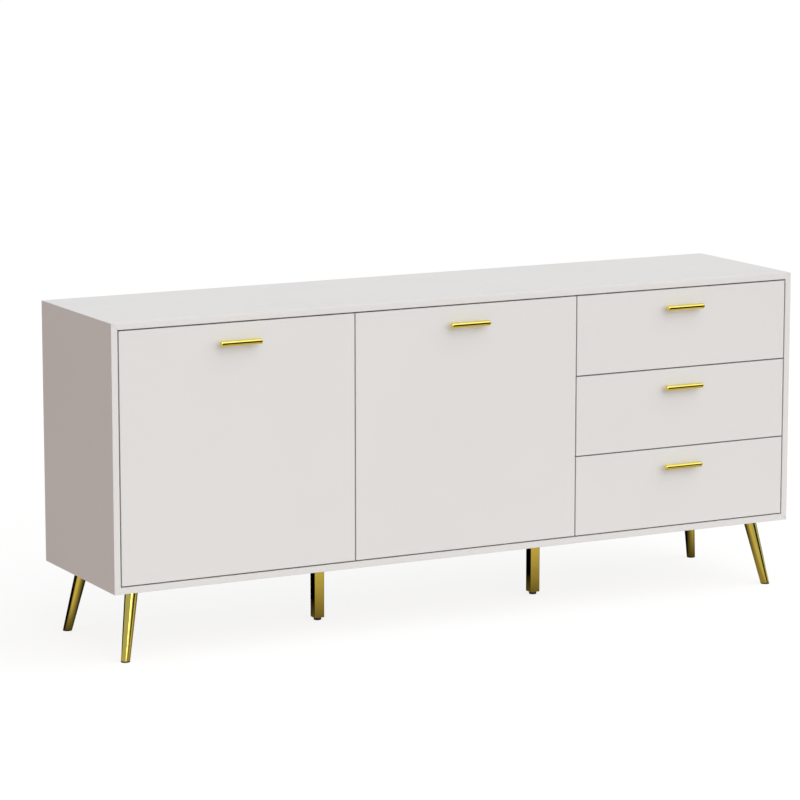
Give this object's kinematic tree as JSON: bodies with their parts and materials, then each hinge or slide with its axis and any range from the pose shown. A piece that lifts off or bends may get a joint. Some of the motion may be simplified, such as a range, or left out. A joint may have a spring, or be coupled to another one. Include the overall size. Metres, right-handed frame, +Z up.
{
  "type": "sideboard",
  "caption": "White sideboard with hinged doors and drawers, bar handles, splayed tapered corner legs and square centre legs.",
  "frame": {"origin": "on the floor, in the middle of the outer box with the handles included", "axes": "+X along the width towards the drawers, +Y to the back, +Z up"},
  "size_m": [1.76, 0.4205, 0.763],
  "materials": {
    "white_laminate": "satin white laminate on board",
    "white_board": "matt white lacquered hardboard",
    "drawer_board": "white melamine board",
    "brass": "polished brass plating",
    "black_plastic": "fine-grained moulded plastic",
    "steel": "zinc plated",
    "dowel_wood": "raw beech",
    "clear_rubber": "translucent, soft"
  },
  "bodies": {
    "root": {"top_panel": "white_laminate", "bottom_panel": "white_laminate", "left_side_panel": "white_laminate", "right_side_panel": "white_laminate", "left_divider": "white_laminate", "right_divider": "white_laminate", "left_back_panel": "white_board", "middle_back_panel": "white_board", "right_back_panel": "white_board", "left_shelf": "white_laminate", "middle_shelf": "white_laminate", "shelf_pins": "steel", "corner_splines": "dowel_wood", "divider_dowels": "dowel_wood", "cam_locks": "steel", "cam_bolts": "steel", "front_left_leg": "brass", "front_right_leg": "brass", "rear_left_leg": "brass", "rear_right_leg": "brass", "leg_plates": "brass", "leg_glides": "black_plastic", "left_centre_leg": "brass", "right_centre_leg": "brass", "centre_leg_inserts": "black_plastic", "wood_screws": "steel", "hinge_plates": "steel", "hinge_arms": "steel", "door_bumpers": "clear_rubber", "slide_channels": "steel"},
    "left_foot": {"left_centre_foot": "black_plastic"},
    "right_foot": {"right_centre_foot": "black_plastic"},
    "left_door": {"left_door_panel": "white_laminate", "left_door_handle": "brass", "left_door_hinge_cups": "steel"},
    "middle_door": {"middle_door_panel": "white_laminate", "middle_door_handle": "brass", "middle_door_hinge_cups": "steel"},
    "top_drawer": {"top_drawer_front": "white_laminate", "top_drawer_handle": "brass", "top_drawer_sides": "drawer_board", "top_drawer_back": "drawer_board", "top_drawer_bottom": "white_board", "top_drawer_runners": "steel"},
    "top_links": {"top_slide_links": "steel"},
    "middle_drawer": {"middle_drawer_front": "white_laminate", "middle_drawer_handle": "brass", "middle_drawer_sides": "drawer_board", "middle_drawer_back": "drawer_board", "middle_drawer_bottom": "white_board", "middle_drawer_runners": "steel"},
    "middle_links": {"middle_slide_links": "steel"},
    "bottom_drawer": {"bottom_drawer_front": "white_laminate", "bottom_drawer_handle": "brass", "bottom_drawer_sides": "drawer_board", "bottom_drawer_back": "drawer_board", "bottom_drawer_bottom": "white_board", "bottom_drawer_runners": "steel"},
    "bottom_links": {"bottom_slide_links": "steel"}
  },
  "joints": [
    {"name": "left_door_hinge", "type": "hinge", "parent": "root", "child": "left_door", "pos_m": [-0.854, -0.18355, 0.462], "axis": [0, 0, -1], "range_deg": [0, 95]},
    {"name": "middle_door_hinge", "type": "hinge", "parent": "root", "child": "middle_door", "pos_m": [-0.27833, -0.18355, 0.462], "axis": [0, 0, -1], "range_deg": [0, 95]},
    {"name": "top_drawer_slide", "type": "slide", "parent": "root", "child": "top_drawer", "axis": [0, -1, 0], "range_m": [0, 0.33]},
    {"name": "middle_drawer_slide", "type": "slide", "parent": "root", "child": "middle_drawer", "axis": [0, -1, 0], "range_m": [0, 0.33]},
    {"name": "bottom_drawer_slide", "type": "slide", "parent": "root", "child": "bottom_drawer", "axis": [0, -1, 0], "range_m": [0, 0.33]},
    {"name": "top_links_slide", "type": "slide", "parent": "root", "child": "top_links", "axis": [0, -1, 0], "range_m": [0, 0.165]},
    {"name": "middle_links_slide", "type": "slide", "parent": "root", "child": "middle_links", "axis": [0, -1, 0], "range_m": [0, 0.165]},
    {"name": "bottom_links_slide", "type": "slide", "parent": "root", "child": "bottom_links", "axis": [0, -1, 0], "range_m": [0, 0.165]},
    {"name": "left_foot_screw", "type": "slide", "parent": "root", "child": "left_foot", "axis": [0, 0, -1], "range_m": [0, 0.008]},
    {"name": "right_foot_screw", "type": "slide", "parent": "root", "child": "right_foot", "axis": [0, 0, -1], "range_m": [0, 0.008]}
  ],
  "couplings": [
    {"joint": "top_links_slide", "follows": "top_drawer_slide", "ratio": 0.5},
    {"joint": "middle_links_slide", "follows": "middle_drawer_slide", "ratio": 0.5},
    {"joint": "bottom_links_slide", "follows": "bottom_drawer_slide", "ratio": 0.5}
  ]
}
